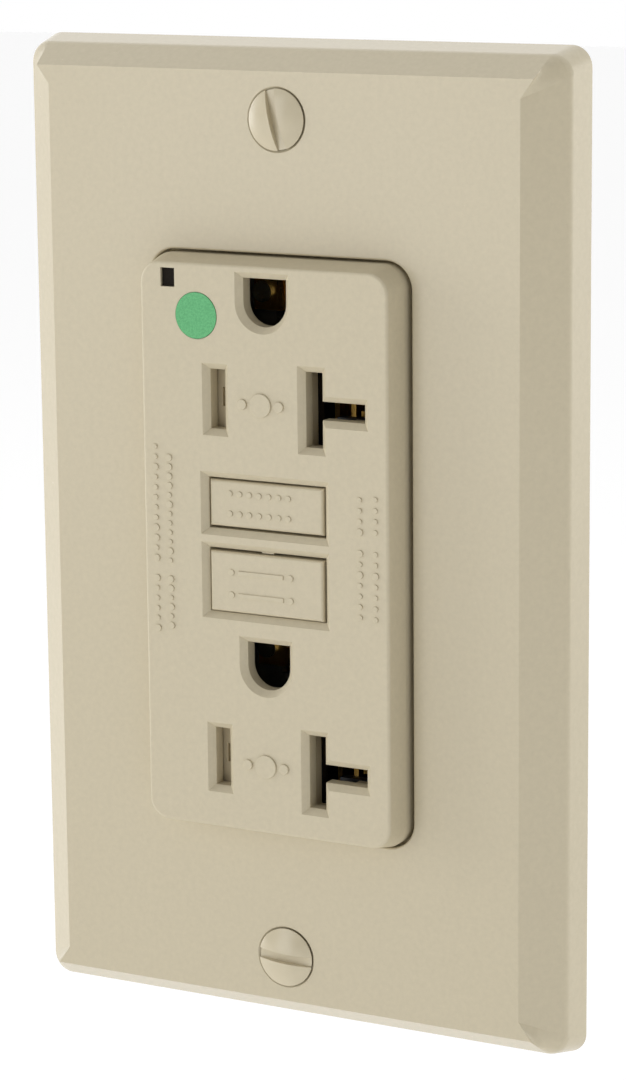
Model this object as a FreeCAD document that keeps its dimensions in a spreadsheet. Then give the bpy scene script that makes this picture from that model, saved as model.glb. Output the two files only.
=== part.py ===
import FreeCAD, Part
import os, math
import Sketcher
from FreeCAD import Vector, Placement, Rotation

# One-gang self-testing receptacle with its cover plate.  Millimetres, +Z up,
# X to the right seen from the front, the front faces -Y and the wall plane is Y = 0.
# The origin is the middle of the two box screws.

os.makedirs("parts", exist_ok=True)
doc = FreeCAD.newDocument("Receptacle")
sheet = doc.addObject("Spreadsheet::Sheet", "Dims")


class Q:
    """A number together with the expression that gives it from the sheet."""
    def __init__(self, v, s):
        self.v, self.s = float(v), s

    def __add__(self, o): o = q(o); return Q(self.v + o.v, "(%s + %s)" % (self.s, o.s))
    def __radd__(self, o): return q(o) + self
    def __sub__(self, o): o = q(o); return Q(self.v - o.v, "(%s - %s)" % (self.s, o.s))
    def __rsub__(self, o): return q(o) - self
    def __mul__(self, o): o = q(o); return Q(self.v * o.v, "(%s * %s)" % (self.s, o.s))
    __rmul__ = __mul__
    def __truediv__(self, o): o = q(o); return Q(self.v / o.v, "(%s / %s)" % (self.s, o.s))
    def __neg__(self): return Q(-self.v, "(0 - %s)" % self.s)


def q(o):
    return o if isinstance(o, Q) else Q(o, ("(%r)" % float(o)) if o < 0 else repr(float(o)))


ROW = [0]


def dim(alias, value, note=""):
    ROW[0] += 1
    n = ROW[0]
    sheet.set("A%d" % n, alias)
    sheet.set("B%d" % n, repr(float(value)))
    sheet.set("C%d" % n, note)
    sheet.setAlias("B%d" % n, alias)
    return Q(value, "Dims." + alias)


# ---- driving dimensions -------------------------------------------------
plate_wid = dim("plate_wid", 69.6, "one-gang plate width")
plate_hgt = dim("plate_hgt", 113.8, "one-gang plate height")
plate_thk = dim("plate_thk", 7.4, "wall to plate face")
plate_rim = dim("plate_rim", 3.9, "wall to the lip of the plate")
lip_wid = dim("lip_wid", 68.3, "plate width at the lip")
lip_hgt = dim("lip_hgt", 112.2, "plate height at the lip")
plate_cor = dim("plate_cor", 2.4, "plate corner radius")
bev_wid = dim("bev_wid", 59.5, "flat field width inside the bevel")
ear_wid = dim("ear_wid", 62.6, "flat field width along its top and bottom")
ear_hgt = dim("ear_hgt", 2.1, "height over which the field widens")
bev_hgt = dim("bev_hgt", 107.4, "flat field height inside the bevel")
plate_skin = dim("plate_skin", 1.9, "plate wall")
open_wid = dim("open_wid", 33.3, "device opening width")
open_hgt = dim("open_hgt", 66.9, "device opening height")
open_cor = dim("open_cor", 3.2, "device opening corner radius")
plate_scr = dim("plate_scr", 96.8, "plate screw spacing")
box_scr = dim("box_scr", 83.3, "box screw spacing")
scr_rad = dim("scr_rad", 1.75, "number six screw radius")
head_rad = dim("head_rad", 3.45, "plate screw head radius")
face_wid = dim("face_wid", 32.2, "device face width at the plate")
face_frt = dim("face_frt", 31.3, "device face width at the front")
face_hgt = dim("face_hgt", 66.3, "device face height at the plate")
face_frh = dim("face_frh", 64.9, "device face height at the front")
face_y = dim("face_y", 11.24, "wall to the middle of the face")
face_cor = dim("face_cor", 2.7, "device face corner radius")
skin = dim("skin", 2.2, "face thickness")
cham = dim("cham", 0.72, "lead-in chamfer round the openings")
rec_z = dim("rec_z", 16.8, "upper blade centre height")
rec_pitch = dim("rec_pitch", 41.5, "distance between the two receptacles")
gnd_up = dim("gnd_up", 11.6, "ground pin above the blades")
gnd_wid = dim("gnd_wid", 5.45, "ground opening width")
blade_x = dim("blade_x", 6.15, "blade slot centre from the middle")
hot_wid = dim("hot_wid", 1.9, "narrow slot width")
hot_hgt = dim("hot_hgt", 6.8, "narrow slot height")
neu_wid = dim("neu_wid", 2.1, "wide slot width")
neu_hgt = dim("neu_hgt", 8.5, "wide slot height")
arm_hgt = dim("arm_hgt", 2.1, "sideways arm of the wide slot")
arm_end = dim("arm_end", 12.5, "end of the sideways arm")
btn_wid = dim("btn_wid", 15.0, "button opening width")
tst_top = dim("tst_top", 8.25, "test opening top")
tst_bot = dim("tst_bot", 2.4, "test opening bottom")
rst_top = dim("rst_top", 0.15, "reset opening top")
rst_bot = dim("rst_bot", 7.25, "reset opening bottom, below the middle")
gap = dim("gap", 0.22, "gap round a button")
strap_thk = dim("strap_thk", 1.3, "strap thickness")
strap_wid = dim("strap_wid", 40.8, "strap width")
strap_len = dim("strap_len", 106.0, "strap length")
body_wid = dim("body_wid", 43.0, "device body width")
body_hgt = dim("body_hgt", 67.8, "device body height")
mid_y = dim("mid_y", 9.0, "back of the middle housing")
back_y = dim("back_y", 27.0, "back of the device")
asm_x = dim("asm_x", 18.4, "assembly screw from the middle")
asm_z = dim("asm_z", 31.0, "assembly screw from the middle, up")
shut_trav = dim("shut_trav", 2.6, "shutter travel")
term_z = dim("term_z", 21.5, "terminal screw height")
shaft_z = dim("shaft_z", -3.7, "reset shaft height")
coil_y = dim("coil_y", 16.9, "solenoid axis depth")
sheet.recompute()
doc.recompute()

NODES = []


def keep(obj, label):
    obj.Label = label
    NODES.append(obj)
    return obj


def num(v):
    return v.v if isinstance(v, Q) else float(v)


def bind(o, prop, v):
    if isinstance(v, Q):
        o.setExpression(prop, v.s)


# ---- Part primitives ----------------------------------------------------
COUNT = [0]


def uid(stem):
    COUNT[0] += 1
    return "%s_%03d" % (stem, COUNT[0])


def box(x0, x1, y0, y1, z0, z1):
    o = doc.addObject("Part::Box", uid("Block"))
    for p, a, b in (("Length", x0, x1), ("Width", y0, y1), ("Height", z0, z1)):
        d = q(b) - q(a)
        setattr(o, p, num(d))
        bind(o, p, d)
    o.Placement = Placement(Vector(num(x0), num(y0), num(z0)), Rotation())
    for ax, v in (("x", x0), ("y", y0), ("z", z0)):
        bind(o, "Placement.Base." + ax, v)
    return o


ROT = {"X": Rotation(Vector(0, 1, 0), 90), "Y": Rotation(Vector(1, 0, 0), -90), "Z": Rotation()}


def place(o, axis, x, y, z):
    o.Placement = Placement(Vector(num(x), num(y), num(z)), ROT[axis])
    for ax, v in (("x", x), ("y", y), ("z", z)):
        bind(o, "Placement.Base." + ax, v)
    return o


def cyl(axis, x, y, z, r, length):
    o = doc.addObject("Part::Cylinder", uid("Round"))
    o.Radius = num(r)
    o.Height = num(length)
    bind(o, "Radius", r)
    bind(o, "Height", length)
    return place(o, axis, x, y, z)


def cone(axis, x, y, z, r1, r2, length):
    o = doc.addObject("Part::Cone", uid("Taper"))
    o.Radius1, o.Radius2, o.Height = num(r1), num(r2), num(length)
    bind(o, "Radius1", r1)
    bind(o, "Radius2", r2)
    bind(o, "Height", length)
    return place(o, axis, x, y, z)


def torus(axis, x, y, z, r1, r2):
    o = doc.addObject("Part::Torus", uid("Ring"))
    o.Radius1, o.Radius2 = num(r1), num(r2)
    return place(o, axis, x, y, z)


def fuse(*objs):
    if len(objs) == 1:
        return objs[0]
    o = doc.addObject("Part::MultiFuse", uid("Joined"))
    o.Shapes = list(objs)
    o.Refine = True
    return o


def cut(base, *tools):
    o = doc.addObject("Part::Cut", uid("Cut"))
    o.Base = base
    o.Tool = fuse(*tools)
    o.Refine = True
    return o


def common(a, b):
    o = doc.addObject("Part::Common", uid("Meet"))
    o.Base, o.Tool = a, b
    return o


def group(*objs):
    o = doc.addObject("Part::Compound", uid("Group"))
    o.Links = list(objs)
    return o


def spring(axis, x, y, z, r, wire, length, turns):
    """Coil of round wire, its ends included in the length."""
    h = doc.addObject("Part::Helix", uid("Coil"))
    h.Radius = r - wire
    h.Height = length - 2 * wire - 0.02
    h.Pitch = (length - 2 * wire - 0.02) / turns
    c = doc.addObject("Part::Circle", uid("Wire"))
    c.Radius = wire
    c.Placement = Placement(Vector(r - wire, 0, 0), Rotation(Vector(1, 0, 0), 90))
    w = doc.addObject("Part::Sweep", uid("Sweep"))
    w.Sections = [c]
    w.Spine = (h, ["Edge1"])
    w.Solid = True
    w.Frenet = True
    place(w, axis, x, y, z)
    off = ROT[axis].multVec(Vector(0, 0, wire + 0.01))
    w.Placement = Placement(Vector(num(x), num(y), num(z)) + off, ROT[axis])
    return w


# ---- PartDesign bodies --------------------------------------------------
def body(name):
    return doc.addObject("PartDesign::Body", name)


def plane(b, role):
    for f in b.Origin.OriginFeatures:
        if f.Role == role:
            return f


class Sk:
    """A fully constrained sketch on one of the body's origin planes.
    On XZ_Plane its own x is X, its own y is Z and its normal is -Y."""
    def __init__(self, b, role="XZ_Plane", at=0.0, sign=-1):
        self.s = b.newObject("Sketcher::SketchObject", uid("Sketch"))
        self.s.AttachmentSupport = (plane(b, role), [""])
        self.s.MapMode = "FlatFace"
        off = q(at) * sign
        self.s.AttachmentOffset = Placement(Vector(0, 0, off.v), Rotation())
        if isinstance(at, Q):
            self.s.setExpression("AttachmentOffset.Base.z", off.s)

    def _c(self, kind, *args, v=None):
        if v is None:
            return self.s.addConstraint(Sketcher.Constraint(kind, *args))
        i = self.s.addConstraint(Sketcher.Constraint(kind, *args, num(v)))
        if isinstance(v, Q):
            self.s.setExpression("Constraints[%d]" % i, v.s)
        return i

    def pin(self, geo, pos, x, y):
        self._c("DistanceX", -1, 1, geo, pos, v=x)
        self._c("DistanceY", -1, 1, geo, pos, v=y)

    def poly(self, pts):
        n = len(pts)
        g = []
        for i in range(n):
            a, b = pts[i], pts[(i + 1) % n]
            g.append(self.s.addGeometry(Part.LineSegment(
                Vector(num(a[0]), num(a[1]), 0), Vector(num(b[0]), num(b[1]), 0)), False))
        for i in range(n):
            self._c("Coincident", g[i], 2, g[(i + 1) % n], 1)
        for i in range(n):
            self.pin(g[i], 1, pts[i][0], pts[i][1])
        return self

    def rect(self, x0, x1, z0, z1):
        return self.poly([(x0, z0), (x1, z0), (x1, z1), (x0, z1)])

    def circle(self, x, z, r):
        g = self.s.addGeometry(Part.Circle(Vector(num(x), num(z), 0), Vector(0, 0, 1), num(r)), False)
        self._c("Radius", g, v=r)
        self.pin(g, 3, x, z)
        return self

    def rrect(self, x0, x1, z0, z1, r):
        x0, x1, z0, z1, r = q(x0), q(x1), q(z0), q(z1), q(r)
        pts = [(x0 + r, z0), (x1 - r, z0), (x1, z0 + r), (x1, z1 - r),
               (x1 - r, z1), (x0 + r, z1), (x0, z1 - r), (x0, z0 + r)]
        cen = [None, (x1 - r, z0 + r, -90), None, (x1 - r, z1 - r, 0),
               None, (x0 + r, z1 - r, 90), None, (x0 + r, z0 + r, 180)]
        g = []
        for i in range(8):
            a, b = pts[i], pts[(i + 1) % 8]
            if cen[i] is None:
                g.append(self.s.addGeometry(Part.LineSegment(
                    Vector(a[0].v, a[1].v, 0), Vector(b[0].v, b[1].v, 0)), False))
            else:
                c = Part.Circle(Vector(cen[i][0].v, cen[i][1].v, 0), Vector(0, 0, 1), r.v)
                t0 = math.radians(cen[i][2])
                g.append(self.s.addGeometry(Part.ArcOfCircle(c, t0, t0 + math.pi / 2), False))
        for i in range(8):
            self._c("Coincident", g[i], 2, g[(i + 1) % 8], 1)
        for i in range(8):
            self.pin(g[i], 1, pts[i][0], pts[i][1])
            if cen[i] is not None:
                self._c("Radius", g[i], v=r)
        return self

    def dshape(self, cx, ztop, zc, w):
        """Flat top, round bottom: the ground pin opening."""
        cx, ztop, zc, w = q(cx), q(ztop), q(zc), q(w)
        r = w / 2
        p = [(cx + r, zc), (cx + r, ztop), (cx - r, ztop), (cx - r, zc)]
        g = []
        for i in range(3):
            g.append(self.s.addGeometry(Part.LineSegment(
                Vector(p[i][0].v, p[i][1].v, 0), Vector(p[i + 1][0].v, p[i + 1][1].v, 0)), False))
        c = Part.Circle(Vector(cx.v, zc.v, 0), Vector(0, 0, 1), r.v)
        g.append(self.s.addGeometry(Part.ArcOfCircle(c, math.pi, 2 * math.pi), False))
        for i in range(4):
            self._c("Coincident", g[i], 2, g[(i + 1) % 4], 1)
        for i in range(4):
            self.pin(g[i], 1, p[i][0], p[i][1])
        self._c("DistanceY", -1, 1, g[3], 3, v=zc)
        return self


def pad(b, sk, length, back=False, mid=False):
    p = b.newObject("PartDesign::Pad", uid("Pad"))
    p.Profile = sk.s
    p.Length = num(length)
    bind(p, "Length", length)
    p.Reversed = back
    p.Midplane = mid
    sk.s.Visibility = False
    doc.recompute()
    return p


def pocket(b, sk, length, front=False):
    """Cuts towards +Y from the sketch, or towards -Y with front=True."""
    v0 = b.Tip.Shape.Volume
    p = b.newObject("PartDesign::Pocket", uid("Pocket"))
    p.Profile = sk.s
    p.Length = num(length)
    bind(p, "Length", length)
    p.Reversed = front
    doc.recompute()
    if not p.Shape.Volume < v0 - 1e-6:
        raise RuntimeError("pocket %s of %s cut nothing" % (p.Name, b.Name))
    return p


def edge_names(feat, test):
    out = []
    for i, e in enumerate(feat.Shape.Edges):
        bb = e.BoundBox
        if test(e, bb):
            out.append("Edge%d" % (i + 1))
    return out


def dress(b, kind, size, test):
    feat = b.Tip
    names = edge_names(feat, test)
    if not names:
        raise RuntimeError("no edge for %s on %s" % (kind, b.Name))
    f = b.newObject("PartDesign::" + kind, uid(kind))
    f.Base = (feat, names)
    prop = "Radius" if kind == "Fillet" else "Size"
    setattr(f, prop, num(size))
    bind(f, prop, size)
    doc.recompute()
    return f


def near(a, v, tol=0.02):
    return abs(a - v) < tol


def flat_y(bb, y, tol=0.02):
    return near(bb.YMin, y, tol) and near(bb.YMax, y, tol)


# ======================= cover plate =====================================
b = body("wallplate")
LIP_R = 1.2


def ruled(b, first, last, tag):
    lf = b.newObject("PartDesign::AdditiveLoft", tag)
    lf.Profile = first.s
    lf.Sections = [last.s]
    lf.Ruled = True
    first.s.Visibility = False
    last.s.Visibility = False
    doc.recompute()
    return lf


s0 = Sk(b).rrect(-plate_wid / 2, plate_wid / 2, -plate_hgt / 2, plate_hgt / 2, plate_cor)
s1 = Sk(b, at=-plate_rim).rrect(-lip_wid / 2, lip_wid / 2, -lip_hgt / 2, lip_hgt / 2, plate_cor)
ruled(b, s0, s1, "Sides")
s2 = Sk(b, at=-plate_rim).rrect(-lip_wid / 2, lip_wid / 2, -lip_hgt / 2, lip_hgt / 2, plate_cor)
ex, bx, bz = ear_wid / 2, bev_wid / 2, bev_hgt / 2
s3 = Sk(b, at=-plate_thk).poly([(-ex, -bz), (ex, -bz), (bx, -bz + ear_hgt), (bx, bz - ear_hgt),
                                (ex, bz), (-ex, bz), (-bx, bz - ear_hgt), (-bx, -bz + ear_hgt)])
ruled(b, s2, s3, "Bevel")
dress(b, "Fillet", LIP_R, lambda e, bb: flat_y(bb, -3.9))
hx, hz = plate_wid / 2 - plate_skin, plate_hgt / 2 - plate_skin
pocket(b, Sk(b, at=0.0).rrect(-hx, hx, -hz, hz, 1.2), 3.1, front=True)
hx2, hz2 = bev_wid / 2 - 0.3, bev_hgt / 2 - 0.6
pocket(b, Sk(b, at=-3.1).rrect(-hx2, hx2, -hz2, hz2, 1.2), plate_thk - plate_skin - 3.1, front=True)
bs = Sk(b, at=-(plate_thk - plate_skin)).circle(0.0, plate_scr / 2, 4.0).circle(0.0, -plate_scr / 2, 4.0)
pad(b, bs, 1.2, back=True)
pocket(b, Sk(b, at=-plate_thk - 0.1).circle(0.0, plate_scr / 2, 1.95).circle(0.0, -plate_scr / 2, 1.95), 6.0)
for sgn in (1, -1):
    dress(b, "Chamfer", 1.74, lambda e, bb: flat_y(bb, -plate_thk.v) and near(bb.ZMin, sgn * 48.4 - 1.95, 0.05)
          and near(bb.XMax, 1.95, 0.05))
pocket(b, Sk(b, at=-plate_thk - 0.1).rrect(-open_wid / 2, open_wid / 2, -open_hgt / 2, open_hgt / 2, open_cor), 6.0)
dress(b, "Fillet", 0.25, lambda e, bb: flat_y(bb, -plate_thk.v) and bb.XMax < 16.8 and bb.XMin > -16.8
      and bb.ZMax < 33.6 and bb.ZMin > -33.6)
keep(b, "wallplate")

# plate screws: oval countersunk heads, one slot turned almost upright, one almost level


def plate_screw(z, turn):
    y0 = -plate_thk
    head = cone("Y", 0.0, y0 - 0.02, z, head_rad, 1.7, 1.66)
    dome = doc.addObject("Part::Sphere", uid("Dome"))
    dome.Radius = 8.6
    place(dome, "Z", 0.0, y0 - 0.85 + 8.6, z)
    cap = common(cyl("Y", 0.0, y0 - 1.2, z, head_rad, 1.2), dome)
    shank = cyl("Y", 0.0, y0 + 1.0, z, 1.70, 11.6)
    tip = cone("Y", 0.0, y0 + 12.6, z, 1.70, 1.1, 0.6)
    slot = doc.addObject("Part::Box", uid("Slot"))
    slot.Length, slot.Width, slot.Height = 9.0, 2.05, 1.15
    slot.Placement = Placement(Vector(0, num(y0) - 2.0, num(z)), Rotation(Vector(0, -1, 0), turn)).multiply(
        Placement(Vector(-4.5, 0, -0.575), Rotation()))
    return cut(fuse(head, cap, shank, tip), slot)


keep(group(plate_screw(plate_scr / 2, -77.0), plate_screw(-plate_scr / 2, -3.0)), "wallplate_screws")

# ======================= front cover =====================================
b = body("front_cover")
fx, fz = face_wid / 2, face_hgt / 2
wx, wz = face_frt / 2, face_frh / 2
pad(b, Sk(b, at=-1.3).rrect(-fx, fx, -fz, fz, face_cor), plate_thk - 0.7)
ruled(b, Sk(b, at=-plate_thk - 0.6).rrect(-fx, fx, -fz, fz, face_cor),
      Sk(b, at=-face_y).rrect(-wx, wx, -wz, wz, face_cor - 0.3), "Face")
dress(b, "Fillet", 0.35, lambda e, bb: flat_y(bb, -face_y.v))
pad(b, Sk(b, at=-1.3).rrect(-21.3, 21.3, -34.0, 34.0, 3.0), 3.1)
pocket(b, Sk(b, at=-1.3).rect(-14.7, 14.7, -31.4, 31.4), face_y - skin - 1.3, front=True)
top = -face_y - 0.2
depth = skin + 0.4


def through(sk):
    return pocket(b, sk, depth)


for dz in (q(0.0), -rec_pitch):
    zb = rec_z + dz
    zg = zb + gnd_up
    through(Sk(b, at=top).dshape(0.0, zg + 2.7, zg, gnd_wid))
    through(Sk(b, at=top).rect(-blade_x - hot_wid / 2, -blade_x + hot_wid / 2,
                               zb + 0.4 - hot_hgt / 2, zb + 0.4 + hot_hgt / 2))
    n0, n1 = blade_x - neu_wid / 2, blade_x + neu_wid / 2
    through(Sk(b, at=top).poly([(n0, zb - neu_hgt / 2), (n1, zb - neu_hgt / 2), (n1, zb - arm_hgt / 2),
                                (arm_end, zb - arm_hgt / 2), (arm_end, zb + arm_hgt / 2),
                                (n1, zb + arm_hgt / 2), (n1, zb + neu_hgt / 2), (n0, zb + neu_hgt / 2)]))
through(Sk(b, at=top).rect(-btn_wid / 2, btn_wid / 2, tst_bot, tst_top))
through(Sk(b, at=top).rect(-btn_wid / 2, btn_wid / 2, -rst_bot, rst_top))
dress(b, "Chamfer", cham, lambda e, bb: flat_y(bb, -face_y.v) and bb.XMin > -8.5 and bb.XMax < 13.0
      and bb.ZMin > -30 and bb.ZMax < 32.5)
through(Sk(b, at=top).rect(-13.0, -11.2, 29.66, 31.8))
pocket(b, Sk(b, at=-face_y - 0.1).circle(-8.45, 26.6, 2.68), 0.4)
pocket(b, Sk(b, at=-1.3).circle(-asm_x, -asm_z, 1.4).circle(asm_x, -asm_z, 1.4)
       .circle(-asm_x, asm_z, 1.4).circle(asm_x, asm_z, 1.4), 2.7, front=True)
pad(b, Sk(b, at=-face_y + skin).rect(-0.75, 0.75, -0.02, 0.35), 1.4)
keep(b, "front_cover")

keep(box(-12.95, -11.25, -face_y + 0.35, -face_y + skin, 29.71, 31.75), "indicator_window")
keep(box(-12.9, -11.3, -face_y + skin + 0.02, 7.6, 29.8, 31.2), "light_pipe")
keep(cyl("Y", -8.45, -face_y - 0.06, 26.6, 2.62, 0.34), "green_dot")

# ======================= buttons =========================================
b = body("test_button")
g = gap
tb = -face_y + 3.4
pad(b, Sk(b, at=tb).rect(-btn_wid / 2 + g, btn_wid / 2 - g, tst_bot + 0.3, tst_top - g), 2.95)
dress(b, "Fillet", 0.35, lambda e, bb: flat_y(bb, tb.v - 2.95))
pad(b, Sk(b, at=tb).rect(-7.9, 7.9, 2.1, 8.7), 1.0)
pad(b, Sk(b, at=tb).rect(-2.0, 2.0, 4.4, 5.2), face_y - 4.4, back=True)
keep(b, "test_button")

b = body("reset_button")
rb = -face_y + 4.5
pad(b, Sk(b, at=rb).rect(-btn_wid / 2 + g, btn_wid / 2 - g, -rst_bot + 0.12, rst_top - 0.3), 4.2)
dress(b, "Fillet", 0.35, lambda e, bb: flat_y(bb, rb.v - 4.2))
pad(b, Sk(b, at=rb).rect(-7.9, 7.9, -7.95, 0.5), 1.0)
pad(b, Sk(b, at=rb).circle(0.0, shaft_z, 2.0), face_y - 6.7, back=True)
pocket(b, Sk(b, at=-2.2).circle(0.0, shaft_z, 1.2), 4.0, front=True)
keep(b, "reset_button")

keep(fuse(cyl("Y", 0.0, -6.2, shaft_z, 1.2, 19.4), cyl("Y", 0.0, 13.2, shaft_z, 0.75, 6.4),
          cyl("Y", 0.0, 19.6, shaft_z, 1.2, 0.8), cone("Y", 0.0, 20.4, shaft_z, 1.2, 0.5, 0.7)), "reset_shaft")
keep(spring("Y", 0.0, -6.69, shaft_z, 2.9, 0.2, 6.44, 6), "reset_spring")

# ======================= mounting strap ==================================
b = body("mounting_strap")
sw, sl = strap_wid / 2, strap_len / 2
out = [(sw, -33.8), (sw, 33.8), (16.5, 34.6), (16.5, 44.5), (sw, 46.5), (sw, sl),
       (-sw, sl), (-sw, 46.5), (-16.5, 44.5), (-16.5, 34.6), (-sw, 33.8), (-sw, -33.8),
       (-16.5, -34.6), (-16.5, -44.5), (-sw, -46.5), (-sw, -sl),
       (sw, -sl), (sw, -46.5), (16.5, -44.5), (16.5, -34.6)]
pad(b, Sk(b, at=0.0).poly(out), strap_thk)
dress(b, "Fillet", 2.0, lambda e, bb: near(abs(bb.XMin), 20.4) and near(abs(bb.ZMin), 53.0) and bb.YLength > 1
      and bb.ZLength < 0.05)
cuts = Sk(b, at=-strap_thk - 0.1)
cuts.rect(-13.6, 13.6, -8.5, 23.5).rect(-13.9, 14.6, -30.6, -18.2)
cuts.rect(-3.6, 3.6, 25.3, 31.5).rect(-3.6, 3.6, -16.2, -10.0)
cuts.rect(-13.2, -11.0, 29.5, 31.5)
cuts.circle(-asm_x, -asm_z, 1.6).circle(asm_x, -asm_z, 1.6).circle(-asm_x, asm_z, 1.6).circle(asm_x, asm_z, 1.6)
cuts.circle(0.0, plate_scr / 2, scr_rad).circle(0.0, -plate_scr / 2, scr_rad)
cuts.rrect(-3.7, 3.7, box_scr / 2 - 2.1, box_scr / 2 + 2.1, 2.0)
cuts.rrect(-3.7, 3.7, -box_scr / 2 - 2.1, -box_scr / 2 + 2.1, 2.0)
for gz in (28.4, -13.1):
    cuts.circle(-4.95, gz, 0.8).circle(4.95, gz, 0.8)
pocket(b, cuts, strap_thk + 0.4)
pad(b, Sk(b, at=0.0).rect(-15.6, -14.3, -44.2, -36.0), 11.0, back=True)
hole = Sk(b, role="YZ_Plane", at=-16.0, sign=1)
hole.circle(6.0, -40.1, 2.08)
p = pocket(b, hole, 3.0, front=True)
keep(b, "mounting_strap")


def box_screw(z):
    head = common(cyl("Y", 0.0, -3.1, z, 3.4, 1.8), place(doc.addObject("Part::Sphere", uid("Dome")), "Z", 0.0, 1.0, z))
    head.Tool.Radius = 4.9
    hd = cut(head, box(-3.8, 3.8, -3.6, -2.4, z - 0.55, z + 0.55), box(-0.55, 0.55, -3.6, -2.4, z - 3.8, z + 3.8))
    return fuse(hd, cyl("Y", 0.0, -1.31, z, 1.45, 1.4), cyl("Y", 0.0, -0.05, z, scr_rad, 21.34),
                cone("Y", 0.0, 21.29, z, scr_rad, 1.0, 0.9))


keep(group(box_screw(box_scr / 2), box_screw(-box_scr / 2)), "box_screws")


def washer(z):
    return cut(fuse(box(-1.55, 1.55, -1.27, -0.2, z - 1.9, z + 1.9), cyl("Y", -1.55, -1.27, z, 1.9, 1.07),
                    cyl("Y", 1.55, -1.27, z, 1.9, 1.07)), cyl("Y", 0.0, -2.0, z, 1.6, 3.0))


keep(group(washer(box_scr / 2), washer(-box_scr / 2)), "screw_retainers")


def ground_clip(z):
    base = box(-6.2, 6.2, -1.92, -1.32, z - 2.1, z + 2.1)
    legs = [box(s * 2.4 if s > 0 else -3.0, 3.0 if s > 0 else s * 2.4, -1.9, 5.4, z - 2.1, z + 2.1) for s in (-1, 1)]
    return cut(fuse(base, *legs), box(-2.4, 2.4, -2.5, 6.0, z - 3.0, z + 3.0),
               cyl("Y", -4.95, -2.5, z, 0.8, 2.0), cyl("Y", 4.95, -2.5, z, 0.8, 2.0))


def ground_contact(z):
    c = ground_clip(z)
    bridge = box(-2.4, 2.4, 4.8, 5.4, z - 2.1, z + 2.1)
    return fuse(c, bridge)


keep(group(ground_contact(q(28.4)), ground_contact(q(-13.1))), "ground_contacts")


def rivet(x, z):
    return fuse(cyl("Y", x, -2.4, z, 1.2, 0.48), cyl("Y", x, -1.93, z, 0.79, 1.95), cyl("Y", x, 0.01, z, 1.15, 0.4))


keep(group(*[rivet(x, z) for x in (-4.95, 4.95) for z in (28.4, -13.1)]), "ground_rivets")
gs = fuse(cyl("X", -19.2, 6.0, -40.1, 4.1, 2.2), cyl("X", -17.01, 6.0, -40.1, 2.0, 6.2))
keep(cut(gs, box(-19.8, -18.2, 5.4, 6.6, -45.0, -35.0)), "ground_screw")

# ======================= shutters ========================================


def shutter_set(stem, zc):
    zc = q(zc)
    f0 = -face_y
    n0, n1 = blade_x - neu_wid / 2, blade_x + neu_wid / 2
    plate = box(-13.9, 14.2, f0 + 3.95, f0 + 5.15, zc - 5.7, zc + 5.7)
    rails = [box(-13.9, 14.2, f0 + 2.3, f0 + 3.95, zc + 5.3, zc + 5.7), box(-13.9, 14.2, f0 + 2.3, f0 + 3.95, zc - 5.7, zc - 5.3),
             box(-13.9, -13.3, f0 + 2.3, f0 + 3.95, zc - 5.7, zc + 5.7)]
    holes = [box(-blade_x - 1.05, -blade_x + 1.05, -9, -4, zc - 3.2, zc + 4.0),
             box(n0 - 0.1, n1 + 0.1, -9, -4, zc - 4.4, zc + 4.4),
             box(n1, 12.6, -9, -4, zc - 1.2, zc + 1.2)]
    keep(cut(fuse(plate, *rails), *holes), stem + "_shutter_guide")
    sl = box(-8.2, 13.9, f0 + 2.5, f0 + 3.7, zc - 5.0, zc + 5.0)
    t = shut_trav
    wins = [box(-blade_x - 1.05 + t, -blade_x + 1.05 + t, -10, -6, zc - 3.3, zc + 4.1),
            box(n0 - 0.1, n1 + 0.1 + t, -10, -6, zc - 4.45, zc + 4.45),
            box(n1 + t, 14.5, -10, -6, zc - 1.25, zc + 1.25),
            common(cyl("Y", -6.55, f0 + 2.1, zc + 0.4, 1.1, 0.8), box(-6.55, -4.0, -10.0, -6.0, zc - 3.0, zc + 3.0))]
    keep(cut(sl, *wins), stem + "_shutter")
    keep(spring("X", -13.25, f0 + 3.1, zc, 0.7, 0.12, 5.0, 6), stem + "_shutter_spring")


shutter_set("upper", rec_z)
shutter_set("lower", rec_z - rec_pitch)

# ======================= load contacts ===================================


def load_contact(side, label):
    def bx(x0, x1, y0, y1, z0, z1):
        return box(x0, x1, y0, y1, z0, z1) if side > 0 else box(-x1, -x0, y0, y1, z0, z1)
    z_hi, z_lo = 16.8, -24.7
    bits = [bx(5.0, 10.0, 5.0, 5.6, z_lo - 3.5, z_hi + 3.6)]
    for zc in (z_hi, z_lo):
        bits += [bx(5.0, 5.6, -3.6, 5.3, zc - 3.5, zc + 3.5), bx(7.1, 7.7, -3.6, 5.3, zc - 3.5, zc + 3.5)]
        if side > 0:
            bits += [bx(8.4, 12.4, -3.6, 5.3, zc - 1.6, zc - 1.0), bx(8.4, 12.4, -3.6, 5.3, zc + 1.0, zc + 1.6),
                     bx(9.9, 12.4, 5.0, 5.6, zc - 1.6, zc + 1.6)]
    bits += [bx(9.9, 19.4, 5.0, 5.6, 16.0, 20.4), bx(18.4, 19.4, 5.0, 12.5, 16.0, 20.4)]
    bits.append(cut(bx(18.4, 19.4, 12.0, 22.5, 15.9, 27.1), cyl("X", -25.0, 17.5, term_z, 2.15, 50.0)))
    bits += [bx(4.9, 8.1, 5.0, 10.6, 2.0, 2.6), bx(4.9, 8.1, 10.0, 10.6, -0.6, 2.6)]
    keep(fuse(*bits), label)


load_contact(-1, "hot_load_contact")
load_contact(1, "neutral_load_contact")
keep(group(cyl("Y", -6.5, 10.61, 0.9, 1.3, 0.55), cyl("Y", 6.5, 10.61, 0.9, 1.3, 0.55)), "fixed_silver_contacts")

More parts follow.
